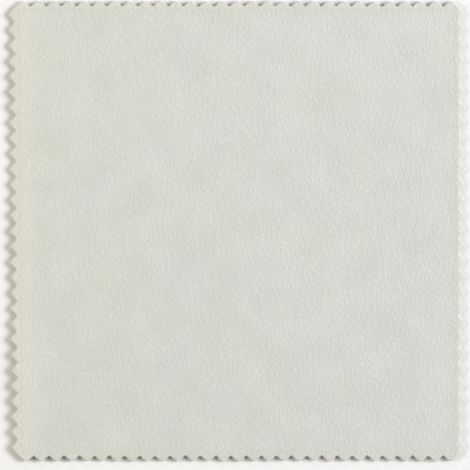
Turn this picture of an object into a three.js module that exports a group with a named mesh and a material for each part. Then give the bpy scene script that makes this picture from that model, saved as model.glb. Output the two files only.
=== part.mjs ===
// A chamois leather for wiping and polishing: one square of soft, oil-tanned leather, pinked on
// all four sides so that its cut edge doesn't fray. It lies on a table with its grain side up.
//
// Millimetres, +Z up. The origin is on the table, under the middle of the sheet. Seen from
// above, +X is the sheet's right and +Y is its upper edge.

import * as THREE from "three";

// The cut sheet. Its sides are measured over the tips of their teeth.
const SHEET_WIDTH = 148.4; // along the upper edge
const SHEET_LENGTH = 150;
const OUT_OF_SQUARE = 1.1; // how far the left edge has drawn in by the lower corner
const LEATHER_THICKNESS = 1.2;

// The pinked edge.
const TEETH_PER_SIDE = 29;
const TOOTH_ANGLE = THREE.MathUtils.degToRad(97); // between the two flanks of a tooth
const TIP_RADIUS = 0.4; // soft fibres round a tip off, while the blade leaves a root sharp
const TIP_ARC_STEPS = 2;
const CORNER_INSET = 2; // a corner's blunt point lies this far in from both of its sides

// The rim, which the pinking blades press thinner. Each drop is what a tip loses in height.
const RIM_WIDTH = 3.5;
const LEFT_RIM_DROP = 0.1;
const LOWER_RIM_DROP = 0.3;
const RIGHT_RIM_DROP = 0.45;
const UPPER_RIM_DROP = 0.35;

// The left edge doesn't lie right down. It stands off the table in low waves, and more so
// towards the lower corner. Places along it are measured down from the upper edge.
const STAND_OFF_REACH = 45; // how far into the sheet this goes
const CORNER_RISE = 0.35;
const CORNER_RISE_START = 45;
const CORNER_RISE_FULL = 127;
const WAVE_HEIGHT = 0.18;
const WAVE_LENGTH = 46.5;
const FIRST_WAVE_FOOT = 6.75;

// The flat panel inside the rim is a net of cells, narrower towards the left where it bends.
const PANEL_COLUMNS = 8;
const PANEL_ROWS = 10;

// One straight side of the sheet, through the tips of its teeth.
class Side {
  constructor(start, end, rimDrop) {
    this.start = start;
    this.along = end.clone().sub(start).normalize();
    this.outward = new THREE.Vector2(this.along.y, -this.along.x);
    this.rimDrop = rimDrop;
  }

  // How far a point lies in from this side.
  depthOf(point) {
    return this.start.clone().sub(point).dot(this.outward);
  }
}

// The four sides, anticlockwise as seen from above: left, lower, right, upper.
function sheetSides() {
  const halfWidth = SHEET_WIDTH / 2;
  const halfLength = SHEET_LENGTH / 2;
  const upperLeft = new THREE.Vector2(-halfWidth, halfLength);
  const lowerLeft = new THREE.Vector2(-halfWidth + OUT_OF_SQUARE, -halfLength);
  const lowerRight = new THREE.Vector2(halfWidth, -halfLength);
  const upperRight = new THREE.Vector2(halfWidth, halfLength);
  return [
    new Side(upperLeft, lowerLeft, LEFT_RIM_DROP),
    new Side(lowerLeft, lowerRight, LOWER_RIM_DROP),
    new Side(lowerRight, upperRight, RIGHT_RIM_DROP),
    new Side(upperRight, upperLeft, UPPER_RIM_DROP),
  ];
}

// The point at one depth in from both sides of the corner where `after` starts.
function pointInsideCorner(before, after, depth) {
  const sineOfCorner = before.along.dot(after.outward);
  const step = depth / sineOfCorner;
  return after.start
    .clone()
    .addScaledVector(after.along, step)
    .addScaledVector(before.along, -step);
}

// The knots of one side's zigzag, from its first blunt corner up to its last tooth. The next
// side's zigzag starts at the blunt corner that ends this one, so that they share it. A tip
// is given by the centre of its arc, and every arc touches the side's outer line.
function zigzagOf(before, side, after) {
  const first = pointInsideCorner(before, side, CORNER_INSET);
  const last = pointInsideCorner(side, after, CORNER_INSET);
  const pitch = first.distanceTo(last) / TEETH_PER_SIDE;
  const halfAngle = TOOTH_ANGLE / 2;
  const sharpHeight = pitch / 2 / Math.tan(halfAngle);
  const centreOut = CORNER_INSET - TIP_RADIUS;
  const rootOut = centreOut + TIP_RADIUS / Math.sin(halfAngle) - sharpHeight;

  const pointAt = (pitches, out) =>
    first
      .clone()
      .addScaledVector(side.along, pitches * pitch)
      .addScaledVector(side.outward, out);

  const knots = [{ point: first }];
  for (let tooth = 0; tooth < TEETH_PER_SIDE; tooth++) {
    if (tooth > 0) knots.push({ point: pointAt(tooth, rootOut) });
    knots.push({ tipCentre: pointAt(tooth + 1 / 2, centreOut) });
  }
  return knots;
}

// A tip's arc, anticlockwise from the flank that comes from `before` to the one that leaves
// for `after`. Both flanks touch it.
function tipArc(before, centre, after) {
  const touchAngle = (point, turn) => {
    const reach = point.clone().sub(centre);
    return reach.angle() + turn * Math.acos(Math.min(TIP_RADIUS / reach.length(), 1));
  };
  const start = touchAngle(before, 1);
  const end = touchAngle(after, -1);
  const sweep = THREE.MathUtils.euclideanModulo(end - start, 2 * Math.PI);
  return Array.from({ length: TIP_ARC_STEPS + 1 }, (_, step) => {
    const angle = start + (sweep * step) / TIP_ARC_STEPS;
    const radial = new THREE.Vector2(Math.cos(angle), Math.sin(angle));
    return centre.clone().addScaledVector(radial, TIP_RADIUS);
  });
}

// The whole pinked outline, anticlockwise, and the places in it of its roots and blunt corners.
function pinkedOutline(sides) {
  const knots = sides.flatMap((side, i) => {
    const before = sides[(i + sides.length - 1) % sides.length];
    const after = sides[(i + 1) % sides.length];
    return zigzagOf(before, side, after);
  });
  const points = [];
  const roots = [];
  knots.forEach(({ point, tipCentre }, i) => {
    if (point) {
      roots.push(points.length);
      points.push(point);
    } else {
      const before = knots[i - 1].point;
      const after = knots[(i + 1) % knots.length].point;
      points.push(...tipArc(before, tipCentre, after));
    }
  });
  return { points, roots };
}

// The panel's net of points, row by row from its upper left corner.
function panelPoints(sides) {
  const [left, lower, right, upper] = sides;
  const upperLeft = pointInsideCorner(upper, left, RIM_WIDTH);
  const lowerLeft = pointInsideCorner(left, lower, RIM_WIDTH);
  const lowerRight = pointInsideCorner(lower, right, RIM_WIDTH);
  const upperRight = pointInsideCorner(right, upper, RIM_WIDTH);
  const points = [];
  for (let row = 0; row <= PANEL_ROWS; row++) {
    const rowStart = upperLeft.clone().lerp(lowerLeft, row / PANEL_ROWS);
    const rowEnd = upperRight.clone().lerp(lowerRight, row / PANEL_ROWS);
    for (let column = 0; column <= PANEL_COLUMNS; column++)
      points.push(rowStart.clone().lerp(rowEnd, (column / PANEL_COLUMNS) ** 2));
  }
  return points;
}

// Places in the panel's list of points.
const panelPlace = (column, row) => row * (PANEL_COLUMNS + 1) + column;

// The panel's border along each side, in the sides' order and direction.
function panelBorders() {
  const columns = Array.from({ length: PANEL_COLUMNS + 1 }, (_, column) => column);
  const rows = Array.from({ length: PANEL_ROWS + 1 }, (_, row) => row);
  return [
    rows.map((row) => panelPlace(0, row)),
    columns.map((column) => panelPlace(column, PANEL_ROWS)),
    rows.map((row) => panelPlace(PANEL_COLUMNS, row)).reverse(),
    columns.map((column) => panelPlace(column, 0)).reverse(),
  ];
}

// Two triangles for each cell of the panel, facing up.
function panelTriangles() {
  const triangles = [];
  for (let row = 0; row < PANEL_ROWS; row++)
    for (let column = 0; column < PANEL_COLUMNS; column++) {
      const upperLeft = panelPlace(column, row);
      const upperRight = panelPlace(column + 1, row);
      const lowerLeft = panelPlace(column, row + 1);
      const lowerRight = panelPlace(column + 1, row + 1);
      triangles.push([upperLeft, lowerLeft, lowerRight]);
      triangles.push([upperLeft, lowerRight, upperRight]);
    }
  return triangles;
}

// Each tooth as a fan of triangles from the root before it, facing up.
function toothTriangles(roots) {
  return roots.flatMap((root, i) => {
    const arc = Array.from({ length: TIP_ARC_STEPS + 1 }, (_, step) => root + 1 + step);
    const rim = [...arc, roots[(i + 1) % roots.length]];
    return rim.slice(1).map((place, step) => [root, rim[step], place]);
  });
}

// A strip of triangles, facing up, between two lines of places that run the same way along a
// side, with the outer line on its right.
function stripTriangles(outer, inner, plan, side) {
  const reachOf = (place) => plan[place].dot(side.along);
  const triangles = [];
  let i = 0;
  let j = 0;
  while (i < outer.length - 1 || j < inner.length - 1) {
    const innerDone = j === inner.length - 1;
    const outerDone = i === outer.length - 1;
    if (innerDone || (!outerDone && reachOf(outer[i + 1]) <= reachOf(inner[j + 1]))) {
      triangles.push([outer[i], outer[i + 1], inner[j]]);
      i++;
    } else {
      triangles.push([outer[i], inner[j + 1], inner[j]]);
      j++;
    }
  }
  return triangles;
}

// How far the underside stands off the table.
function standOff(point, leftSide) {
  const nearness = 1 - leftSide.depthOf(point) / STAND_OFF_REACH;
  const hold = THREE.MathUtils.clamp(nearness, 0, 1) ** 2;
  const fromUpperEdge = SHEET_LENGTH / 2 - point.y;
  const rise = THREE.MathUtils.smoothstep(fromUpperEdge, CORNER_RISE_START, CORNER_RISE_FULL);
  const wave = Math.sin((Math.PI * (fromUpperEdge - FIRST_WAVE_FOOT)) / WAVE_LENGTH) ** 2;
  return hold * (CORNER_RISE * rise + WAVE_HEIGHT * wave);
}

// How much thinner than the panel the leather is, near its pinked edge.
function pressedBy(point, sides) {
  const drops = sides.map((side) => {
    const nearness = 1 - side.depthOf(point) / RIM_WIDTH;
    return side.rimDrop * THREE.MathUtils.clamp(nearness, 0, 1);
  });
  return Math.max(...drops);
}

// The sheet as one closed body: its grain side, its flesh side and the cut wall between them.
function sheetGeometry() {
  const sides = sheetSides();
  const { points: outline, roots } = pinkedOutline(sides);
  const plan = [...outline, ...panelPoints(sides)];
  const ofPanel = (place) => outline.length + place;

  // One face of the sheet, from its teeth inwards.
  const borders = panelBorders();
  const rim = sides.flatMap((side, i) => {
    const firstRoot = i * TEETH_PER_SIDE;
    const rootLine = roots.slice(firstRoot, firstRoot + TEETH_PER_SIDE);
    rootLine.push(roots[(firstRoot + TEETH_PER_SIDE) % roots.length]);
    return stripTriangles(rootLine, borders[i].map(ofPanel), plan, side);
  });
  const panel = panelTriangles().map((triangle) => triangle.map(ofPanel));
  const faceTriangles = [...toothTriangles(roots), ...rim, ...panel];

  const flesh = plan.map((point) => [point.x, point.y, standOff(point, sides[0])]);
  const grain = plan.map((point, i) => {
    const thickness = LEATHER_THICKNESS - pressedBy(point, sides);
    return [point.x, point.y, flesh[i][2] + thickness];
  });

  const triangles = [];
  for (const [a, b, c] of faceTriangles) {
    triangles.push(a, c, b);
    triangles.push(plan.length + a, plan.length + b, plan.length + c);
  }
  for (let i = 0; i < outline.length; i++) {
    const next = (i + 1) % outline.length;
    triangles.push(i, next, plan.length + next);
    triangles.push(i, plan.length + next, plan.length + i);
  }

  const geometry = new THREE.BufferGeometry();
  const positions = [...flesh, ...grain].flat();
  geometry.setAttribute("position", new THREE.Float32BufferAttribute(positions, 3));
  geometry.setIndex(triangles);
  geometry.computeVertexNormals();
  return geometry;
}

const chamoisFinish = new THREE.MeshStandardMaterial({
  color: 0xd8d9d0,
  roughness: 0.85,
  metalness: 0,
  flatShading: true,
});

const chamoisSheet = new THREE.Mesh(sheetGeometry(), chamoisFinish);
chamoisSheet.name = "chamois_sheet";

const chamoisLeather = new THREE.Group();
chamoisLeather.name = "chamois_leather";
chamoisLeather.add(chamoisSheet);

export default chamoisLeather;
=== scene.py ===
"""The looks of a chamois leather: one soft square, pinked on all four sides, on a pale table.

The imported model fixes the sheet's place and size. This script cuts the same square again as a
fine mesh, with soft edges and a gently uneven surface, and dresses its grain side, its flesh
side and its cut edge. A camera looks straight down at it, in soft light that comes mostly from
low on the right.

Lengths are in metres. +X is the sheet's right, +Y its upper edge, and +Z is up, out of the grain
side. The origin is on the table, under the middle of the sheet.
"""

import logging
import math
from collections.abc import Sequence
from dataclasses import dataclass, field
from enum import Enum, IntEnum

import bpy
import numpy as np
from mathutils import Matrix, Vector, geometry, kdtree, noise


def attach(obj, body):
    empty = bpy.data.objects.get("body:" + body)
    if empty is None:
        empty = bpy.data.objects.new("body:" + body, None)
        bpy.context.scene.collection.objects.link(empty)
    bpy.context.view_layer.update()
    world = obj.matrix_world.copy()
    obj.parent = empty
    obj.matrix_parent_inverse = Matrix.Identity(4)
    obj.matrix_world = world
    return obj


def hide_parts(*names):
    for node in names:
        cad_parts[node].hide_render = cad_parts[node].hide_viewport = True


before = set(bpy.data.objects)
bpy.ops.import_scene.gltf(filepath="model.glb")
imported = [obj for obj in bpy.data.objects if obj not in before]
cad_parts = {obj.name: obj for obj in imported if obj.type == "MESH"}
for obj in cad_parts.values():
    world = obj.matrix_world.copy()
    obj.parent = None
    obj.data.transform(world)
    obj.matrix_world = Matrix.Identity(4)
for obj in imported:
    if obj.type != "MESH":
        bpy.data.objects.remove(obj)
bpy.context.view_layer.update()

LOG = logging.getLogger("chamois_leather")

CAD_NODE = "chamois_sheet"
CAD_BODY = "root"

# The mesh attributes that hold how far a point lies in from the nearest side and from the left.
RIM_DEPTH = "rim_depth"
LEFT_DEPTH = "left_depth"

# The cut edge from the flesh side's border up to the grain side's. Each ring lies in by a share
# of the cut's slope and a share of the edges' rounding, and up by a share of the thickness.
CUT_RING_SHARES = (
    (0.0, 1.0, 0.0),
    (0.0, 0.42, 0.03),
    (0.0, 0.1, 0.11),
    (0.1, 0.0, 0.24),
    (0.34, 0.0, 0.46),
    (0.62, 0.0, 0.69),
    (0.84, 0.1, 0.87),
    (0.96, 0.42, 0.97),
    (1.0, 1.0, 1.0),
)
GRAIN_RINGS = 2  # the rings below the border that still wear the grain side's finish

# Points of a face that lie closer together than this are one point.
NEAR_ENOUGH = 1e-8
INSIDE_ONLY = 1  # the triangulation's way to leave out what lies outside the border
LATTICE_ANGLE = math.radians(60)

NOISE_MEAN = (0.5, 0.5, 0.5)
BLACK = (0.0, 0.0, 0.0, 1.0)
WHITE = (1.0, 1.0, 1.0, 1.0)

# What can feed an input of a shader node.
Value = float | Sequence[float] | bpy.types.NodeSocket


def unit(vectors: np.ndarray) -> np.ndarray:
    """Vectors of length one in the same directions."""
    return vectors / np.linalg.norm(vectors, axis=-1, keepdims=True)


def smooth_step(values: np.ndarray, start: float, end: float) -> np.ndarray:
    """Rises smoothly from 0 at start to 1 at end."""
    share = np.clip((values - start) / (end - start), 0, 1)
    return share * share * (3 - 2 * share)


def soft_noise(points: np.ndarray, length: float, layer: float) -> np.ndarray:
    """Smooth noise between about -1 and 1 over points of the plan.

    Args:
        points: The plan's points, one in a row.
        length: How far apart the noise's hills lie.
        layer: Which of many unlike layers of noise to take.

    Returns:
        One value for each point.
    """
    return np.array([noise.noise(Vector((x, y, layer))) for x, y in points / length])


class Surface(IntEnum):
    """The sheet's surfaces, in the order of its material slots."""

    GRAIN = 0
    FLESH = 1
    CUT = 2


@dataclass(frozen=True)
class Side:
    """One straight side of the sheet, through the tips of its teeth.

    Attributes:
        start: Where the side starts, going anticlockwise round the sheet.
        end: Where it ends.
        rim_drop: What the tips of its teeth lose in thickness.
    """

    start: np.ndarray
    end: np.ndarray
    rim_drop: float

    @property
    def along(self) -> np.ndarray:
        """The direction of the side."""
        return unit(self.end - self.start)

    @property
    def outward(self) -> np.ndarray:
        """The direction out of the sheet, square to the side."""
        return np.array([self.along[1], -self.along[0]])

    def depth_of(self, points: np.ndarray) -> np.ndarray:
        """How far points lie in from this side."""
        return (self.start - points) @ self.outward


@dataclass(frozen=True)
class PinkedCut:
    """The square as the pinking blades cut it, with the small faults of a hand-fed cut.

    Attributes:
        width: The upper edge, over the tips of its teeth.
        length: From the lower edge to the upper edge, over the tips.
        out_of_square: How far the left edge has drawn in by the lower corner.
        teeth_per_side: Whole teeth between two blunt corners.
        tooth_angle: Between the two flanks of a tooth.
        tip_radius: How far soft fibres round a tip off.
        root_radius: The same in a root.
        corner_radius: The same at a blunt corner.
        corner_inset: How far a blunt corner lies in from both of its sides.
        knot_stray: How far tips and roots stray from their places, as a standard deviation.
        radius_stray_share: How much the radii differ, at most, as a share of each.
        least_radius: The least that any of these radii becomes on a side of the leather.
        arc_steps: Steps in each round.
        flank_steps: Steps along each flank.
        seed: Sets the strays.
    """

    width: float = 0.1484
    length: float = 0.150
    out_of_square: float = 0.0011
    teeth_per_side: int = 29
    tooth_angle: float = math.radians(97)
    tip_radius: float = 0.0007
    root_radius: float = 0.0005
    corner_radius: float = 0.002
    corner_inset: float = 0.002
    knot_stray: float = 0.00009
    radius_stray_share: float = 0.25
    least_radius: float = 0.0001
    arc_steps: int = 4
    flank_steps: int = 4
    seed: int = 7

    def corners(self) -> np.ndarray:
        """The corners of the lines through the tips: upper left, then anticlockwise."""
        x, y = self.width / 2, self.length / 2
        return np.array([(-x, y), (self.out_of_square - x, -y), (x, -y), (x, y)])

    def sides(self, rim_drops: Sequence[float]) -> list[Side]:
        """The left, lower, right and upper side, in this order."""
        corners = self.corners()
        return [Side(*ends) for ends in zip(corners, np.roll(corners, -1, axis=0), rim_drops)]

    def blunt_corner(self, before: Side, after: Side) -> np.ndarray:
        """The point that lies in by the corner inset from two sides that meet."""
        step = self.corner_inset / (before.along @ after.outward)
        return after.start + step * (after.along - before.along)

    def knots(self) -> tuple[np.ndarray, np.ndarray]:
        """The zigzag before its knots are rounded off.

        Returns:
            The places of blunt corners, tips and roots, anticlockwise, and their radii.
        """
        stray = np.random.default_rng(self.seed)
        sides = self.sides([0.0] * 4)
        half_angle = self.tooth_angle / 2
        tip_out = self.corner_inset - self.tip_radius + self.tip_radius / math.sin(half_angle)
        places, radii = [], []
        for i, side in enumerate(sides):
            first = self.blunt_corner(sides[i - 1], side)
            last = self.blunt_corner(side, sides[(i + 1) % len(sides)])
            pitch = np.linalg.norm(last - first) / self.teeth_per_side
            root_out = tip_out - pitch / 2 / math.tan(half_angle)
            places.append(first)
            radii.append(self.corner_radius)
            for half_pitch in range(1, 2 * self.teeth_per_side):
                is_tip = half_pitch % 2 == 1
                out = tip_out if is_tip else root_out
                radius = self.tip_radius if is_tip else self.root_radius
                place = first + half_pitch / 2 * pitch * side.along + out * side.outward
                places.append(place + stray.normal(0, self.knot_stray, 2))
                radii.append(radius * (1 + self.radius_stray_share * stray.uniform(-1, 1)))
        return np.array(places), np.array(radii)

    def outline(self, inset: float = 0.0) -> np.ndarray:
        """The pinked outline, or one that runs inside it.

        Args:
            inset: How far inside the cut's own outline it runs. Less than zero is outside.

        Returns:
            Its points, anticlockwise, the same number at every inset.
        """
        places, radii = self.knots()
        to_before = unit(np.roll(places, 1, axis=0) - places)
        to_after = unit(np.roll(places, -1, axis=0) - places)
        bisector = unit(to_before + to_after)
        half_angle = np.arccos(np.sum(to_before * bisector, axis=1))
        turn = to_after[:, 0] * to_before[:, 1] - to_after[:, 1] * to_before[:, 0]
        inward = np.where(turn > 0, 1.0, -1.0)
        places = places + bisector * (inward * inset / np.sin(half_angle))[:, None]
        radii = np.maximum(radii - inward * inset, self.least_radius)

        centre = places + bisector * (radii / np.sin(half_angle))[:, None]
        reach = (radii / np.tan(half_angle))[:, None]
        first = places + to_before * reach
        last = places + to_after * reach
        sweep = (np.pi - 2 * half_angle)[:, None]
        points = []
        for share in np.linspace(0, 1, self.arc_steps + 1):
            toward_first = np.sin((1 - share) * sweep) / np.sin(sweep)
            toward_last = np.sin(share * sweep) / np.sin(sweep)
            points.append(
                centre + toward_first * (first - centre) + toward_last * (last - centre)
            )
        next_first = np.roll(first, -1, axis=0)
        for step in range(1, self.flank_steps):
            points.append(last + (next_first - last) * step / self.flank_steps)
        return np.stack(points, axis=1).reshape(-1, 2)


@dataclass(frozen=True)
class Relief:
    """One layer of gentle hills on a face of the sheet.

    Attributes:
        length: How far apart the hills lie.
        height: How far they rise above the mean, and sink below it.
        layer: Which layer of noise shapes them.
    """

    length: float
    height: float
    layer: float

    def at(self, points: np.ndarray) -> np.ndarray:
        """The hills' heights over points of the plan."""
        return self.height * soft_noise(points, self.length, self.layer)


@dataclass(frozen=True)
class Net:
    """How close together the points of a face of the mesh lie.

    Attributes:
        panel_pitch: Between neighbours in the panel.
        rim_pitch: Between neighbours in the rim and its teeth.
        rim_reach: How far in from the sides the rim's pitch goes.
        border_gap_share: The gap left along the outline, as a share of the rim's pitch.
    """

    panel_pitch: float
    rim_pitch: float
    rim_reach: float = 0.0055
    border_gap_share: float = 0.6

    def lattice(self, pitch: float, reach: float) -> np.ndarray:
        """Points of a triangular lattice over a square round the origin.

        Args:
            pitch: Between neighbours.
            reach: From the origin to the square's sides.

        Returns:
            The points, one in a row.
        """
        row_gap = pitch * math.sin(LATTICE_ANGLE)
        rows = np.arange(-reach, reach, row_gap)
        columns = np.arange(-reach, reach, pitch)
        x, y = np.meshgrid(columns, rows)
        x[::2] += pitch / 2
        return np.stack([x.ravel(), y.ravel()], axis=1)

    def points_inside(
        self, border: np.ndarray, normals: np.ndarray, sides: Sequence[Side]
    ) -> np.ndarray:
        """The face's points, apart from its border.

        Args:
            border: The face's border, anticlockwise.
            normals: The direction out of the face at each point of the border.
            sides: The sheet's sides.

        Returns:
            The points, one in a row.
        """
        reach = np.abs(border).max()
        panel = self.lattice(self.panel_pitch, reach)
        panel = panel[nearest_depth(panel, sides) > self.rim_reach]
        rim = self.lattice(self.rim_pitch, reach)
        depth = nearest_depth(rim, sides)
        rim = rim[(depth > 0) & (depth < self.rim_reach - self.rim_pitch / 2)]

        tree = kdtree.KDTree(len(border))
        for i, (x, y) in enumerate(border):
            tree.insert((x, y, 0), i)
        tree.balance()
        found = [tree.find((x, y, 0)) for x, y in rim]
        nearest = np.array([index for _, index, _ in found])
        distance = np.array([gap for _, _, gap in found])
        outside = np.sum((rim - border[nearest]) * normals[nearest], axis=1) > 0
        clear = distance > self.border_gap_share * self.rim_pitch
        return np.vstack([rim[clear & ~outside], panel])


def nearest_depth(points: np.ndarray, sides: Sequence[Side]) -> np.ndarray:
    """How far points lie in from the nearest side."""
    return np.min([side.depth_of(points) for side in sides], axis=0)


def outward_normals(outline: np.ndarray) -> np.ndarray:
    """The direction out of an anticlockwise outline, at each of its points."""
    tangent = np.roll(outline, -1, axis=0) - np.roll(outline, 1, axis=0)
    return unit(np.stack([tangent[:, 1], -tangent[:, 0]], axis=1))


def flat_triangles(border: np.ndarray, inside: np.ndarray) -> np.ndarray:
    """Joins a border and the points inside it into triangles that face up.

    Args:
        border: The border, anticlockwise.
        inside: The points inside it.

    Returns:
        Three places in the joined list of border and inside for each triangle.
    """
    points = np.vstack([border, inside])
    loop = list(range(len(border)))
    found = geometry.delaunay_2d_cdt(
        [Vector(point) for point in points], [], [loop], INSIDE_ONLY, NEAR_ENOUGH, False
    )
    if len(found[0]) != len(points):
        raise ValueError("two points of a face are closer together than they may be")
    triangles = np.array(found[2])
    # A triangle in a notch between teeth takes its three corners against the border's order.
    steps = (np.roll(triangles, -1, axis=1) - triangles) % len(border)
    in_notch = (triangles.max(axis=1) < len(border)) & (steps.sum(axis=1) > len(border))
    return triangles[~in_notch]


@dataclass
class LeatherSheet:
    """The whole chamois leather: one pinked sheet with three surfaces.

    Attributes:
        cut: The outline.
        thickness: Of the leather inside its rim.
        rim_width: How far in from the tips the leather is pressed thinner.
        rim_drops: What the tips lose in thickness on the left, lower, right and upper side.
        stand_off_reach: How far into the sheet the left edge stands off the table.
        corner_rise: How far off the table the lower left corner stands.
        corner_rise_start: Where along the left edge that rise starts, down from the upper edge.
        corner_rise_full: Where it is whole.
        wave_height: The low waves of the left edge.
        wave_length: From one wave to the next.
        first_wave_foot: Where the first wave starts, down from the upper edge.
        flesh_reach: How far the flesh side reaches out past the outline.
        cut_slope: How far the cut slopes in from the flesh side to the grain side.
        edge_rounding: How far in from the cut its edges start to round off.
        cut_roughness: How far fibres stand out of the cut.
        fibre_length: How far apart those fibres lie.
        grain_net: The net of points of the grain side.
        flesh_net: The net of points of the flesh side.
        grain_reliefs: The hills of the grain side.
        flesh_reliefs: The hills of the flesh side.
    """

    cut: PinkedCut = field(default_factory=PinkedCut)
    thickness: float = 0.0012
    rim_width: float = 0.0019
    rim_drops: Sequence[float] = (0.00016, 0.00014, 0.0005, 0.00026)
    stand_off_reach: float = 0.045
    corner_rise: float = 0.00035
    corner_rise_start: float = 0.045
    corner_rise_full: float = 0.127
    wave_height: float = 0.00018
    wave_length: float = 0.0465
    first_wave_foot: float = 0.00675
    flesh_reach: float = 0.00002
    cut_slope: float = 0.00001
    edge_rounding: float = 0.00006
    cut_roughness: float = 0.00003
    fibre_length: float = 0.00022
    grain_net: Net = field(default_factory=lambda: Net(panel_pitch=0.0008, rim_pitch=0.00045))
    flesh_net: Net = field(default_factory=lambda: Net(panel_pitch=0.0014, rim_pitch=0.0007))
    grain_reliefs: Sequence[Relief] = (
        Relief(length=0.024, height=0.00004, layer=0.5),
        Relief(length=0.009, height=0.00002, layer=7.5),
        Relief(length=0.0035, height=0.000014, layer=13.5),
    )
    flesh_reliefs: Sequence[Relief] = (
        Relief(length=0.011, height=0.00002, layer=21.5),
        Relief(length=0.003, height=0.00001, layer=33.5),
    )

    def stand_off(self, points: np.ndarray, left: Side) -> np.ndarray:
        """How far the underside stands off the table.

        Args:
            points: The plan's points.
            left: The sheet's left side.

        Returns:
            A height for each point.
        """
        hold = np.clip(1 - left.depth_of(points) / self.stand_off_reach, 0, 1) ** 2
        from_upper_edge = self.cut.length / 2 - points[:, 1]
        rise = smooth_step(from_upper_edge, self.corner_rise_start, self.corner_rise_full)
        turn = np.pi * (from_upper_edge - self.first_wave_foot) / self.wave_length
        return hold * (self.corner_rise * rise + self.wave_height * np.sin(turn) ** 2)

    def pressed_by(self, points: np.ndarray, sides: Sequence[Side]) -> np.ndarray:
        """How much thinner than its panel the sheet is.

        Args:
            points: The plan's points.
            sides: The sheet's sides.

        Returns:
            A thickness for each point.
        """
        drops = []
        for side in sides:
            nearness = np.clip(1 - side.depth_of(points) / self.rim_width, 0, 1)
            drops.append(side.rim_drop * nearness)
        return np.max(drops, axis=0)

    def flesh_height(self, points: np.ndarray, sides: Sequence[Side]) -> np.ndarray:
        """The flesh side's height over points of the plan.

        Args:
            points: The plan's points.
            sides: The sheet's sides.

        Returns:
            A height for each point, never below the table.
        """
        hills = sum(relief.at(points) + relief.height for relief in self.flesh_reliefs)
        return self.stand_off(points, sides[0]) + np.maximum(hills, 0)

    def grain_height(self, points: np.ndarray, sides: Sequence[Side]) -> np.ndarray:
        """The grain side's height over points of the plan.

        Args:
            points: The plan's points.
            sides: The sheet's sides.

        Returns:
            A height for each point.
        """
        hills = sum(relief.at(points) for relief in self.grain_reliefs)
        pressed = self.pressed_by(points, sides)
        return self.stand_off(points, sides[0]) + self.thickness - pressed + hills

    def cut_rings(self, normals: np.ndarray, sides: Sequence[Side]) -> np.ndarray:
        """The rings of points round the cut edge, from the flesh side up.

        Args:
            normals: The direction out of the sheet at each point of its outline.
            sides: The sheet's sides.

        Returns:
            The rings' points in space, ring by ring.
        """
        rings = []
        for level, (slope_share, rounding_share, height_share) in enumerate(CUT_RING_SHARES):
            is_border = level in (0, len(CUT_RING_SHARES) - 1)
            inset = self.cut_slope * slope_share + self.edge_rounding * rounding_share
            plan = self.cut.outline(inset - self.flesh_reach)
            low = self.flesh_height(plan, sides)
            high = self.grain_height(plan, sides)
            if not is_border:
                fuzz = self.cut_roughness * soft_noise(plan, self.fibre_length, level)
                plan = plan + normals * fuzz[:, None]
            height = low + (high - low) * height_share
            rings.append(np.column_stack([plan, height]))
        return np.array(rings)

    def build(self) -> bpy.types.Object:
        """Makes the sheet's mesh and puts it in the scene.

        Returns:
            The sheet, with its three surfaces marked but not dressed.
        """
        sides = self.cut.sides(self.rim_drops)
        outline = self.cut.outline()
        normals = outward_normals(outline)
        rings = self.cut_rings(normals, sides)
        count = len(outline)

        flesh_border = rings[0][:, :2]
        flesh_inside = self.flesh_net.points_inside(flesh_border, normals, sides)
        flesh_triangles = flat_triangles(flesh_border, flesh_inside)
        grain_border = rings[-1][:, :2]
        grain_inside = self.grain_net.points_inside(grain_border, normals, sides)
        grain_triangles = flat_triangles(grain_border, grain_inside)

        vertices = np.vstack([
            rings.reshape(-1, 3),
            np.column_stack([flesh_inside, self.flesh_height(flesh_inside, sides)]),
            np.column_stack([grain_inside, self.grain_height(grain_inside, sides)]),
        ])
        # A face's triangles count its border first and then the points inside it. The mesh has
        # all the rings first, then the points inside the flesh side, then inside the grain side.
        last_ring = (len(rings) - 1) * count
        flesh_faces = flesh_triangles[:, ::-1]
        flesh_faces = flesh_faces + np.where(flesh_faces < count, 0, last_ring)
        past_flesh = np.where(grain_triangles < count, 0, len(flesh_inside))
        grain_faces = grain_triangles + last_ring + past_flesh

        here = np.arange(count)
        after = (here + 1) % count
        wall_faces = np.vstack([
            np.column_stack([
                level * count + here,
                level * count + after,
                (level + 1) * count + after,
                (level + 1) * count + here,
            ])
            for level in range(len(rings) - 1)
        ])
        wall_surfaces = np.repeat(
            [self.ring_surface(level) for level in range(len(rings) - 1)], count
        )

        mesh = bpy.data.meshes.new("leather_sheet")
        faces = flesh_faces.tolist() + grain_faces.tolist() + wall_faces.tolist()
        mesh.from_pydata(vertices.tolist(), [], faces)
        surfaces = np.concatenate([
            np.full(len(flesh_faces), Surface.FLESH),
            np.full(len(grain_faces), Surface.GRAIN),
            wall_surfaces,
        ])
        mesh.polygons.foreach_set("material_index", surfaces.astype(np.int32))
        mesh.polygons.foreach_set("use_smooth", np.ones(len(faces), bool))
        depths = {
            RIM_DEPTH: nearest_depth(vertices[:, :2], sides),
            LEFT_DEPTH: sides[0].depth_of(vertices[:, :2]),
        }
        for name, depth in depths.items():
            mesh.attributes.new(name, "FLOAT", "POINT").data.foreach_set("value", depth)
        mesh.update()

        piece = bpy.data.objects.new("leather_sheet", mesh)
        bpy.context.scene.collection.objects.link(piece)
        return piece

    def ring_surface(self, level: int) -> Surface:
        """Which surface the band above one ring of the cut belongs to.

        Args:
            level: The ring's place, from the flesh side up.

        Returns:
            The surface.
        """
        if level == 0:
            return Surface.FLESH
        if level >= len(CUT_RING_SHARES) - 1 - GRAIN_RINGS:
            return Surface.GRAIN
        return Surface.CUT

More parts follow.
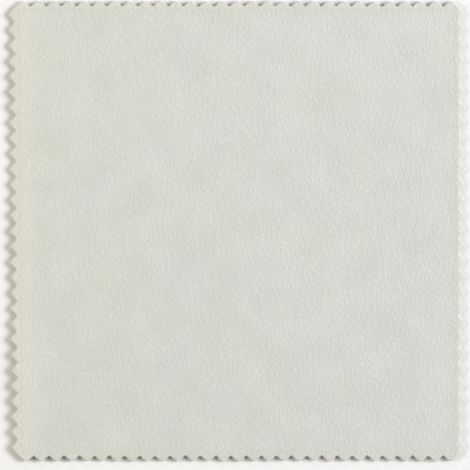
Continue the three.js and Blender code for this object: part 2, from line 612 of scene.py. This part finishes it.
    def dress(self, piece: bpy.types.Object) -> None:
        """Gives each surface its finish and sets the sheet in the frame.

        Args:
            piece: The sheet as built.
        """
        finishes = {
            Surface.GRAIN: GrainFinish(),
            Surface.FLESH: FleshFinish(),
            Surface.CUT: CutFinish(),
        }
        for surface in Surface:
            piece.data.materials.append(finishes[surface].material())
        outline = self.cut.outline()
        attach(piece, CAD_BODY)
        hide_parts(CAD_NODE)


class NodeBench:
    """Adds nodes to one node tree and wires them up."""

    def __init__(self, tree: bpy.types.NodeTree) -> None:
        """Starts work on a tree."""
        self.tree = tree

    def feed(self, socket: bpy.types.NodeSocket, value: Value) -> None:
        """Links a socket to another, or sets its value.

        Args:
            socket: The input to feed.
            value: An output to link, or a number or colour to set.
        """
        if isinstance(value, bpy.types.NodeSocket):
            self.tree.links.new(value, socket)
        else:
            socket.default_value = value

    def add(self, kind: str, inputs: dict[str, Value], **settings: object) -> bpy.types.Node:
        """Adds a node.

        Args:
            kind: Its type, without the words that every shader node's type starts with.
            inputs: What feeds its inputs, by name.
            **settings: Its settings.

        Returns:
            The node.
        """
        node = self.tree.nodes.new("ShaderNode" + kind)
        for name, value in settings.items():
            setattr(node, name, value)
        for name, value in inputs.items():
            self.feed(node.inputs[name], value)
        return node

    def maths(self, operation: str, *values: Value) -> bpy.types.NodeSocket:
        """Adds a Math node.

        Args:
            operation: What it does.
            *values: What feeds its inputs, in order.

        Returns:
            Its value.
        """
        node = self.add("Math", {}, operation=operation)
        for socket, value in zip(node.inputs, values):
            self.feed(socket, value)
        return node.outputs[0]

    def vector_maths(self, operation: str, *values: Value) -> bpy.types.NodeSocket:
        """Adds a Vector Math node.

        Args:
            operation: What it does.
            *values: What feeds its inputs, in order.

        Returns:
            Its vector.
        """
        node = self.add("VectorMath", {}, operation=operation)
        for socket, value in zip(node.inputs, values):
            self.feed(socket, value)
        return node.outputs["Vector"]

    def scaled(self, vector: Value, by: Value) -> bpy.types.NodeSocket:
        """A vector times a number."""
        node = self.add("VectorMath", {"Vector": vector, "Scale": by}, operation="SCALE")
        return node.outputs["Vector"]

    def along(self, vector: Value, drift: Value) -> bpy.types.NodeSocket:
        """How far a vector goes along a drift, times the drift's length.

        Args:
            vector: The vector.
            drift: The drift.

        Returns:
            The product.
        """
        node = self.add("VectorMath", {}, operation="DOT_PRODUCT")
        self.feed(node.inputs[0], vector)
        self.feed(node.inputs[1], drift)
        return node.outputs["Value"]

    def ranged(
        self, value: Value, start: float, end: float, low: float = 0.0, high: float = 1.0
    ) -> bpy.types.NodeSocket:
        """Maps a value smoothly from one range to another.

        Args:
            value: What to map.
            start: The value that gives low.
            end: The value that gives high.
            low: The result at start.
            high: The result at end.

        Returns:
            The result.
        """
        inputs = {"Value": value, "From Min": start, "From Max": end, "To Min": low, "To Max": high}
        return self.add("MapRange", inputs, interpolation_type="SMOOTHSTEP").outputs["Result"]

    def mixed(
        self, factor: Value, first: Value, second: Value, blend: str = "MIX"
    ) -> bpy.types.NodeSocket:
        """Mixes two colours.

        Args:
            factor: The second colour's share.
            first: The first colour.
            second: The second colour.
            blend: How they mix.

        Returns:
            The mixed colour.
        """
        node = self.add("Mix", {}, data_type="RGBA", blend_type=blend)
        colours = [socket for socket in node.inputs if socket.type == "RGBA"]
        self.feed(node.inputs[0], factor)
        self.feed(colours[0], first)
        self.feed(colours[1], second)
        return next(socket for socket in node.outputs if socket.type == "RGBA")

    def noise(self, vector: Value, scale: float, detail: float = 2.0) -> bpy.types.Node:
        """Adds a noise texture."""
        return self.add("TexNoise", {"Vector": vector, "Scale": scale, "Detail": detail})

    def cells(self, vector: Value, scale: float, feature: str) -> bpy.types.NodeSocket:
        """Adds a cell texture and returns its distance."""
        node = self.add("TexVoronoi", {"Vector": vector, "Scale": scale}, feature=feature)
        return node.outputs["Distance"]


class SocketKind(Enum):
    """The kinds of socket that the effects have."""

    VALUE = "NodeSocketFloat"
    VECTOR = "NodeSocketVector"


class Effect:
    """A shader node group that several finishes share. It is built once and then placed."""

    name = ""
    takes: dict[str, SocketKind] = {}
    gives: dict[str, SocketKind] = {}

    def wire(
        self, bench: NodeBench, given: bpy.types.NodeOutputs
    ) -> dict[str, bpy.types.NodeSocket]:
        """Builds the inside of the group.

        Args:
            bench: The group's node bench.
            given: The group's inputs.

        Returns:
            What feeds each of its outputs, by name.
        """
        raise NotImplementedError

    def group(self) -> bpy.types.NodeTree:
        """Finds the group, or builds it the first time.

        Returns:
            The group.
        """
        known = bpy.data.node_groups.get(self.name)
        if known:
            return known
        tree = bpy.data.node_groups.new(self.name, "ShaderNodeTree")
        for name, kind in self.takes.items():
            tree.interface.new_socket(name, in_out="INPUT", socket_type=kind.value)
        for name, kind in self.gives.items():
            tree.interface.new_socket(name, in_out="OUTPUT", socket_type=kind.value)
        bench = NodeBench(tree)
        given = tree.nodes.new("NodeGroupInput").outputs
        out = tree.nodes.new("NodeGroupOutput")
        for name, socket in self.wire(bench, given).items():
            bench.feed(out.inputs[name], socket)
        return tree

    def place(self, bench: NodeBench, inputs: dict[str, Value]) -> bpy.types.NodeOutputs:
        """Places the group in a material.

        Args:
            bench: The material's node bench.
            inputs: What feeds the group's inputs, by name.

        Returns:
            The group's outputs.
        """
        node = bench.tree.nodes.new("ShaderNodeGroup")
        node.node_tree = self.group()
        for name, value in inputs.items():
            bench.feed(node.inputs[name], value)
        return node.outputs


class PebbleGrain(Effect):
    """The grain of the hide: soft pebbles, parted by creases, with a pore here and there."""

    name = "pebble grain"
    takes = {"Vector": SocketKind.VECTOR, "Pebble Size": SocketKind.VALUE,
             "Wander": SocketKind.VALUE, "Pebbles": SocketKind.VALUE,
             "Small Pebbles": SocketKind.VALUE, "Wrinkles": SocketKind.VALUE}
    gives = {"Height": SocketKind.VALUE, "Crease": SocketKind.VALUE, "Pore": SocketKind.VALUE}

    # Lengths count in pebbles, so a scale is how many of a thing lie along one pebble.
    drift_scale = 0.6
    drift_detail = 3.0
    small_pebble_scale = 2.2
    shoulder = 0.35  # from a crease in to a pebble's flat top, in the pebble's own size
    wrinkle_scale = 1.3
    pore_scale = 0.7
    pore_rim = 0.11
    pore_floor = 0.05

    def wire(
        self, bench: NodeBench, given: bpy.types.NodeOutputs
    ) -> dict[str, bpy.types.NodeSocket]:
        """Wires pebbles, small pebbles and wrinkles into one height, each by its share.

        Args:
            bench: The group's node bench.
            given: The group's inputs.

        Returns:
            What feeds each of its outputs, by name.
        """
        per_pebble = bench.maths("DIVIDE", 1.0, given["Pebble Size"])
        place = bench.scaled(given["Vector"], per_pebble)
        drift = bench.noise(place, self.drift_scale, self.drift_detail).outputs["Color"]
        drift = bench.vector_maths("SUBTRACT", drift, NOISE_MEAN)
        place = bench.vector_maths("ADD", place, bench.scaled(drift, given["Wander"]))

        to_crease = bench.cells(place, 1.0, "DISTANCE_TO_EDGE")
        to_small_crease = bench.cells(place, self.small_pebble_scale, "DISTANCE_TO_EDGE")
        pebbles = bench.ranged(to_crease, 0.0, self.shoulder)
        small_pebbles = bench.ranged(to_small_crease, 0.0, self.shoulder)
        wrinkles = bench.noise(place, self.wrinkle_scale).outputs[0]
        pores = bench.cells(place, self.pore_scale, "F1")

        height = bench.maths("MULTIPLY", pebbles, given["Pebbles"])
        height = bench.maths("MULTIPLY_ADD", small_pebbles, given["Small Pebbles"], height)
        height = bench.maths("MULTIPLY_ADD", wrinkles, given["Wrinkles"], height)
        crease = bench.maths("SUBTRACT", 1.0, pebbles)
        pore = bench.ranged(pores, self.pore_rim, self.pore_floor)
        return {"Height": height, "Crease": crease, "Pore": pore}


class HideTone(Effect):
    """A tanned hide's patchy tone and warmth, over slow drifts of painted light and warm light."""

    name = "hide tone"
    takes = {"Vector": SocketKind.VECTOR, "Patch Size": SocketKind.VALUE,
             "Painted Light Drift": SocketKind.VECTOR, "Painted Warm Light Drift": SocketKind.VECTOR}
    gives = {"Lightness": SocketKind.VALUE, "Warmth": SocketKind.VALUE}

    lightness_detail = 5.0
    warmth_aside = (31.0, 17.0, 5.0)  # so that the warm patches are unlike the pale ones
    warmth_scale = 0.8
    warmth_detail = 4.0

    def wire(
        self, bench: NodeBench, given: bpy.types.NodeOutputs
    ) -> dict[str, bpy.types.NodeSocket]:
        """Wires two unlike layers of patches, and adds the drifts of painted light.

        Args:
            bench: The group's node bench.
            given: The group's inputs.

        Returns:
            What feeds each of its outputs, by name.
        """
        per_patch = bench.maths("DIVIDE", 1.0, given["Patch Size"])
        place = bench.scaled(given["Vector"], per_patch)
        aside = bench.vector_maths("ADD", place, self.warmth_aside)
        lightness = bench.noise(place, 1.0, self.lightness_detail).outputs[0]
        # Painted light: a slow rise in lightness across the sheet.
        painted_light_drift = bench.along(given["Vector"], given["Painted Light Drift"])
        warmth = bench.noise(aside, self.warmth_scale, self.warmth_detail).outputs[0]
        # Painted warm light: a slow rise in warmth across the sheet.
        painted_warm_light_drift = bench.along(given["Vector"], given["Painted Warm Light Drift"])
        return {
            "Lightness": bench.maths("ADD", lightness, painted_light_drift),
            "Warmth": bench.maths("ADD", warmth, painted_warm_light_drift),
        }


class FibreNap(Effect):
    """Fine fibres that lie in swirls and clumps, as on suede and on cut leather."""

    name = "fibre nap"
    takes = {"Vector": SocketKind.VECTOR, "Fibre Width": SocketKind.VALUE,
             "Stretch": SocketKind.VECTOR}
    gives = {"Height": SocketKind.VALUE, "Clumps": SocketKind.VALUE}

    # Lengths count in fibre widths.
    detail = 3.0
    swirl_scale = 0.05
    swirl_reach = 24.0
    clump_scale = 0.09
    clump_share = 0.8

    def wire(
        self, bench: NodeBench, given: bpy.types.NodeOutputs
    ) -> dict[str, bpy.types.NodeSocket]:
        """Wires stretched fine noise over coarser clumps.

        Args:
            bench: The group's node bench.
            given: The group's inputs.

        Returns:
            What feeds each of its outputs, by name.
        """
        per_width = bench.maths("DIVIDE", 1.0, given["Fibre Width"])
        place = bench.scaled(given["Vector"], per_width)
        swirl = bench.noise(place, self.swirl_scale, self.detail).outputs["Color"]
        swirl = bench.vector_maths("SUBTRACT", swirl, NOISE_MEAN)
        place = bench.vector_maths("ADD", place, bench.scaled(swirl, self.swirl_reach))
        drawn = bench.vector_maths("MULTIPLY", place, given["Stretch"])
        fibres = bench.noise(drawn, 1.0, self.detail).outputs[0]
        clumps = bench.noise(place, self.clump_scale, self.detail).outputs[0]
        height = bench.maths("MULTIPLY_ADD", clumps, self.clump_share, fibres)
        return {"Height": height, "Clumps": clumps}


class RimWear(Effect):
    """What pinking leaves on the rim: a faint line inside its teeth."""

    name = "rim wear"
    takes = {"Depth": SocketKind.VALUE, "Line Depth": SocketKind.VALUE}
    gives = {"Line": SocketKind.VALUE}

    # Lengths count in line depths.
    line_start = 0.6
    line_end = 1.5

    def wire(
        self, bench: NodeBench, given: bpy.types.NodeOutputs
    ) -> dict[str, bpy.types.NodeSocket]:
        """Wires the line from the depth inside the sheet's sides.

        Args:
            bench: The group's node bench.
            given: The group's inputs.

        Returns:
            What feeds each of its outputs, by name.
        """
        lines_in = bench.maths("DIVIDE", given["Depth"], given["Line Depth"])
        rise = bench.ranged(lines_in, self.line_start, 1.0)
        fall = bench.ranged(lines_in, self.line_end, 1.0)
        return {"Line": bench.maths("MULTIPLY", rise, fall)}


@dataclass(frozen=True)
class Finish:
    """What the finishes of the three surfaces share.

    Attributes:
        name: The material's name.
        cool: The colour of its cooler patches.
        warm: The colour of its warmer patches.
        patch_size: How far apart the patches lie.
        patch_contrast: How much paler or darker they are than the mean, at most.
        painted_light_drift: Painted light: how fast the colour grows paler along each
            direction, per metre.
        painted_warm_light_drift: Painted warm light: how fast it grows warmer.
        lightness_range: The noise's range that runs from the darkest patches to the palest.
        warmth_range: The same from the coolest to the warmest.
        specular: How strongly the surface shines.
    """

    name: str
    cool: Sequence[float]
    warm: Sequence[float]
    patch_size: float = 0.012
    patch_contrast: float = 0.03
    # Painted light: these drifts paint the sheet paler towards its upper edge and warmer towards
    # its left side.
    painted_light_drift: Sequence[float] = (0.0, 1.0, 0.0)
    painted_warm_light_drift: Sequence[float] = (-2.4, 0.0, 0.0)
    lightness_range: Sequence[float] = (0.25, 0.75)
    warmth_range: Sequence[float] = (0.2, 0.8)
    specular: float = 0.2

    def start(self) -> tuple[bpy.types.Material, NodeBench, bpy.types.NodeSocket]:
        """Makes the empty material.

        Returns:
            The material, its node bench and the place on the sheet as a vector.
        """
        material = bpy.data.materials.new(self.name)
        material.use_nodes = True
        material.node_tree.nodes.clear()
        bench = NodeBench(material.node_tree)
        return material, bench, bench.add("TexCoord", {}).outputs["Object"]

    def toned(self, bench: NodeBench, place: bpy.types.NodeSocket) -> bpy.types.NodeSocket:
        """The hide's own colour, in patches.

        Args:
            bench: The material's node bench.
            place: The place on the sheet.

        Returns:
            The colour.
        """
        tone = HideTone().place(bench, {
            "Vector": place,
            "Patch Size": self.patch_size,
            "Painted Light Drift": self.painted_light_drift,
            "Painted Warm Light Drift": self.painted_warm_light_drift,
        })
        warmth = bench.ranged(tone["Warmth"], *self.warmth_range)
        colour = bench.mixed(warmth, (*self.cool, 1.0), (*self.warm, 1.0))
        low, high = 1.0 - self.patch_contrast, 1.0 + self.patch_contrast
        lightness = bench.ranged(tone["Lightness"], *self.lightness_range, low, high)
        return bench.mixed(1.0, colour, lightness, "MULTIPLY")

    def close(self, bench: NodeBench, inputs: dict[str, Value]) -> None:
        """Adds the shader and the output.

        Args:
            bench: The material's node bench.
            inputs: What feeds the shader's inputs, by name.
        """
        shader = bench.add("BsdfPrincipled", {**inputs, "Specular IOR Level": self.specular})
        bench.add("OutputMaterial", {"Surface": shader.outputs["BSDF"]})


@dataclass(frozen=True)
class GrainFinish(Finish):
    """The grain side: smooth, pale and pebbled.

    Attributes:
        pebble_size: From one pebble to the next.
        stretch: How the grain is drawn out along the hide, as a share of each direction.
        wander: How far the creases stray, in pebbles.
        pebbles: The pebbles' share in the relief.
        small_pebbles: The small pebbles' share.
        wrinkles: The wrinkles' share.
        relief: From the bottom of a crease to the top of a pebble.
        relief_range: The relief's share from which it is rough up to where it is smooth.
        roughness: How rough the bottoms of the creases and the tops of the pebbles are.
        painted_crease_shade: How much darker a crease is painted: painted shade, on top of the
        bump's own shading.
        painted_pore_shade: How much of a pore is painted with the dark colour: painted shade
            in a hole that the relief leaves out.
        painted_pore_shade_colour: The colour of that painted shade.
        line_depth: How far in from the tips the rim's faint line lies.
        line_share: How much of the line shows its own colour.
        line_colour: The line's colour.
        lean: How far the direction of the drawn-out grain leans to the right.
        painted_left_light: The paler, warmer colour painted along the left margin: painted
            light.
        painted_left_light_start: How far in from the left side that painted light is still whole.
        painted_left_light_end: How far in it ends.
    """

    name: str = "chamois_grain_side"
    cool: Sequence[float] = (0.673, 0.690, 0.660)
    warm: Sequence[float] = (0.680, 0.686, 0.623)
    pebble_size: float = 0.00172
    stretch: Sequence[float] = (1.12, 0.8, 1.0)
    wander: float = 0.8
    pebbles: float = 0.5
    small_pebbles: float = 0.2
    wrinkles: float = 0.5
    relief: float = 0.000125
    relief_range: Sequence[float] = (0.2, 1.0)
    roughness: Sequence[float] = (0.8, 0.6)
    specular: float = 0.35
    painted_crease_shade: float = 0.03
    painted_pore_shade: float = 0.1
    painted_pore_shade_colour: Sequence[float] = (0.1, 0.09, 0.07)
    line_depth: float = 0.003
    line_share: float = 0.5
    line_colour: Sequence[float] = (0.64, 0.66, 0.55)
    lean: float = math.radians(15)
    # Painted light: the left margin is painted paler and warmer than the rest of the grain side.
    painted_left_light: Sequence[float] = (0.731, 0.724, 0.660)
    painted_left_light_start: float = 0.001
    painted_left_light_end: float = 0.013

    def material(self) -> bpy.types.Material:
        """Builds the finish.

        Returns:
            The material.
        """
        material, bench, place = self.start()
        turned = bench.add(
            "VectorRotate", {"Vector": place, "Angle": self.lean}, rotation_type="Z_AXIS"
        ).outputs["Vector"]
        grain = PebbleGrain().place(bench, {
            "Vector": bench.vector_maths("MULTIPLY", turned, self.stretch),
            "Pebble Size": self.pebble_size,
            "Wander": self.wander,
            "Pebbles": self.pebbles,
            "Small Pebbles": self.small_pebbles,
            "Wrinkles": self.wrinkles,
        })
        depth = bench.add("Attribute", {}, attribute_name=RIM_DEPTH).outputs["Fac"]
        rim = RimWear().place(bench, {"Depth": depth, "Line Depth": self.line_depth})

        # Painted light: the grain side is painted paler and warmer near its left side.
        left_depth = bench.add("Attribute", {}, attribute_name=LEFT_DEPTH).outputs["Fac"]
        painted_left_light = bench.ranged(left_depth, self.painted_left_light_end, self.painted_left_light_start)
        colour = bench.mixed(painted_left_light, self.toned(bench, place), (*self.painted_left_light, 1.0))
        # Painted shade: the creases between the pebbles are painted darker.
        crease = bench.maths("MULTIPLY", grain["Crease"], self.painted_crease_shade)
        colour = bench.mixed(crease, colour, BLACK)
        # Painted shade: the pores, which have no relief of their own, are painted near black.
        pore = bench.maths("MULTIPLY", grain["Pore"], self.painted_pore_shade)
        colour = bench.mixed(pore, colour, (*self.painted_pore_shade_colour, 1.0))
        line = bench.maths("MULTIPLY", rim["Line"], self.line_share)
        colour = bench.mixed(line, colour, (*self.line_colour, 1.0))

        roughness = bench.ranged(grain["Height"], *self.relief_range, *self.roughness)
        bump = bench.add("Bump", {"Height": grain["Height"], "Distance": self.relief})
        self.close(bench, {
            "Base Color": colour,
            "Roughness": roughness,
            "Normal": bump.outputs["Normal"],
        })
        return material


@dataclass(frozen=True, kw_only=True)
class NapFinish(Finish):
    """A surface of fine fibres.

    Attributes:
        fibre_width: Of one fibre or tuft.
        stretch: How the fibres are drawn out, as a share of each direction.
        relief: How far they stand up.
        relief_range: The relief's range that runs from the darkest fibres to the palest.
        fibre_tone_and_painted_shade: What those fibres' colours are multiplied by: their
        uneven tone, and painted shade where the nap lies low.
        clump_range: The clumps' range that runs from the smoothest to the roughest.
        roughness: How rough those are.
        sheen: How strong the fibres' sheen is.
        sheen_roughness: How wide it spreads.
    """

    fibre_width: float
    stretch: Sequence[float]
    relief: float
    relief_range: Sequence[float] = (0.5, 1.3)
    fibre_tone_and_painted_shade: Sequence[float]
    clump_range: Sequence[float] = (0.2, 0.8)
    roughness: Sequence[float]
    sheen: float
    sheen_roughness: float = 0.5

    def material(self) -> bpy.types.Material:
        """Builds the finish.

        Returns:
            The material.
        """
        material, bench, place = self.start()
        nap = FibreNap().place(
            bench, {"Vector": place, "Fibre Width": self.fibre_width, "Stretch": self.stretch}
        )
        # Painted shade: the colour is darker where the nap lies low, along with the fibres' uneven
        # tone.
        fibre_tone_and_painted_shade = bench.ranged(nap["Height"], *self.relief_range, *self.fibre_tone_and_painted_shade)
        colour = bench.mixed(1.0, self.toned(bench, place), fibre_tone_and_painted_shade, "MULTIPLY")
        roughness = bench.ranged(nap["Clumps"], *self.clump_range, *self.roughness)
        bump = bench.add("Bump", {"Height": nap["Height"], "Distance": self.relief})
        self.close(bench, {
            "Base Color": colour,
            "Roughness": roughness,
            "Normal": bump.outputs["Normal"],
            "Sheen Weight": self.sheen,
            "Sheen Roughness": self.sheen_roughness,
        })
        return material


@dataclass(frozen=True)
class FleshFinish(NapFinish):
    """The flesh side: suede with a short nap, drawn out up the sheet."""

    name: str = "chamois_flesh_side"
    cool: Sequence[float] = (0.60, 0.60, 0.53)
    warm: Sequence[float] = (0.64, 0.62, 0.52)
    patch_contrast: float = 0.05
    fibre_width: float = 0.00012
    stretch: Sequence[float] = (1.0, 0.3, 1.0)
    relief: float = 0.00006
    fibre_tone_and_painted_shade: Sequence[float] = (0.86, 1.06)
    roughness: Sequence[float] = (0.85, 1.0)
    sheen: float = 0.3


@dataclass(frozen=True)
class CutFinish(NapFinish):
    """The cut edge: felted fibres, a little darker than the two sides."""

    name: str = "chamois_cut_edge"
    cool: Sequence[float] = (0.54, 0.50, 0.43)
    warm: Sequence[float] = (0.56, 0.50, 0.41)
    fibre_width: float = 0.00006
    stretch: Sequence[float] = (0.4, 0.4, 1.4)
    relief: float = 0.00004
    fibre_tone_and_painted_shade: Sequence[float] = (0.8, 1.05)
    roughness: Sequence[float] = (0.9, 1.0)
    sheen: float = 0.2


@dataclass(frozen=True)
class Table:
    """The plain white table that the sheet lies on.

    Attributes:
        reach: From the origin to its edges.
        colour: Its colour.
        roughness: Its roughness.
        specular: How strongly it shines.
    """

    reach: float = 2.0
    colour: Sequence[float] = (0.9, 0.9, 0.9)
    roughness: float = 0.9
    specular: float = 0.2

    def build(self) -> bpy.types.Object:
        """Makes the table's top.

        Returns:
            The table.
        """
        mesh = bpy.data.meshes.new("table")
        corners = [(-1, -1), (1, -1), (1, 1), (-1, 1)]
        mesh.from_pydata([(x * self.reach, y * self.reach, 0) for x, y in corners], [],
                         [(0, 1, 2, 3)])
        material = bpy.data.materials.new("white_table")
        material.use_nodes = True
        shader = material.node_tree.nodes["Principled BSDF"]
        shader.inputs["Base Color"].default_value = (*self.colour, 1.0)
        shader.inputs["Roughness"].default_value = self.roughness
        shader.inputs["Specular IOR Level"].default_value = self.specular
        mesh.materials.append(material)
        piece = bpy.data.objects.new("table", mesh)
        bpy.context.scene.collection.objects.link(piece)
        return piece


@dataclass(frozen=True)
class SoftLight:
    """One soft light, aimed at the sheet.

    Attributes:
        name: Its name.
        azimuth: Its direction, anticlockwise from the sheet's right.
        share: Its share of the light that falls on the sheet.
        elevation: Its height above the table, as an angle.
        distance: From the sheet.
        width: Of the light, level with the table.
        height: Of the light, across its width.
        colour: Its colour.
    """

    name: str
    azimuth: float
    share: float
    elevation: float = math.radians(27)
    distance: float = 1.6
    width: float = 0.7
    height: float = 0.7
    colour: Sequence[float] = (1.0, 1.0, 1.0)

    def build(self, brightness: float) -> bpy.types.Object:
        """Makes the light.

        Args:
            brightness: All the light that falls on the sheet, in watts per square metre.

        Returns:
            The light.
        """
        lamp = bpy.data.lights.new(self.name, "AREA")
        lamp.shape = "ELLIPSE"
        lamp.size = self.width
        lamp.size_y = self.height
        spread = math.pi * self.distance**2 / math.sin(self.elevation)
        lamp.energy = brightness * self.share * spread
        lamp.color = self.colour
        piece = bpy.data.objects.new(self.name, lamp)
        flat = math.cos(self.elevation)
        toward = Vector((
            flat * math.cos(self.azimuth),
            flat * math.sin(self.azimuth),
            math.sin(self.elevation),
        ))
        piece.location = toward * self.distance
        piece.rotation_euler = toward.to_track_quat("Z", "Y").to_euler()
        bpy.context.scene.collection.objects.link(piece)
        return piece


@dataclass(frozen=True)
class Studio:
    """The soft light of the studio, most of it from low on the right.

    Attributes:
        brightness: All the light that falls on the sheet, in watts per square metre.
        lights: The lights. What their shares leave over comes from all round.
        backdrop: How bright the room looks behind the table.
    """

    brightness: float = 3.37
    lights: Sequence[SoftLight] = (
        SoftLight("key_light", azimuth=math.radians(5), share=0.51, elevation=math.radians(28.5),
                  distance=2.2, width=1.45, height=0.95, colour=(0.99, 1.0, 1.02)),
        SoftLight("fill_light", azimuth=math.radians(180), share=0.25, colour=(1.05, 0.995, 0.88)),
        SoftLight("upper_light", azimuth=math.radians(90), share=0.075,
                  distance=1.2, width=0.6, height=0.6),
        SoftLight("lower_light", azimuth=math.radians(270), share=0.02),
    )
    backdrop: float = 0.9

    def build(self) -> None:
        """Sets the lights and the room."""
        for light in self.lights:
            light.build(self.brightness)
        left_over = 1 - sum(light.share for light in self.lights)
        world = bpy.data.worlds.new("studio")
        world.use_nodes = True
        world.node_tree.nodes.clear()
        bench = NodeBench(world.node_tree)
        seen = bench.add("LightPath", {}).outputs["Is Camera Ray"]
        ambient = self.brightness * left_over / math.pi
        strength = bench.ranged(seen, 0.0, 1.0, ambient, self.backdrop)
        room = bench.add("Background", {"Color": WHITE, "Strength": strength})
        bench.add("OutputWorld", {"Surface": room.outputs["Background"]})
        bpy.context.scene.world = world
        bpy.context.scene.view_settings.view_transform = "Standard"


@dataclass(frozen=True)
class OverheadCamera:
    """A camera with a long lens, straight above the sheet.

    Attributes:
        frame_width: What the picture's width takes in, on the grain side.
        aim: The middle of the picture, on the sheet.
        distance: Above the grain side.
        sheet_top: The grain side's height.
    """

    frame_width: float = 0.1531
    aim: Sequence[float] = (-0.00057, -0.00127)
    distance: float = 1.5
    sheet_top: float = 0.0012

    def build(self) -> bpy.types.Object:
        """Makes the scene's camera.

        Returns:
            The camera.
        """
        lens = bpy.data.cameras.new("overhead_camera")
        lens.lens = lens.sensor_width * self.distance / self.frame_width
        piece = bpy.data.objects.new("overhead_camera", lens)
        piece.location = (*self.aim, self.sheet_top + self.distance)
        bpy.context.scene.collection.objects.link(piece)
        bpy.context.scene.camera = piece
        return piece


def main() -> None:
    """Builds the sheet, the table, the lights and the camera, and reports each piece."""
    logging.basicConfig(level=logging.INFO, format="%(levelname)s %(message)s")
    sheet = LeatherSheet()
    piece = sheet.build()
    sheet.dress(piece)
    triangles = sum(len(face.vertices) - 2 for face in piece.data.polygons)
    LOG.info("%s: %d triangles, for %s", piece.name, triangles, CAD_NODE)
    table = Table().build()
    LOG.info("%s: stage", table.name)
    Studio().build()
    camera = OverheadCamera().build()
    LOG.info("%s: lens %.0f mm", camera.name, camera.data.lens)


if __name__ == "__main__":
    main()
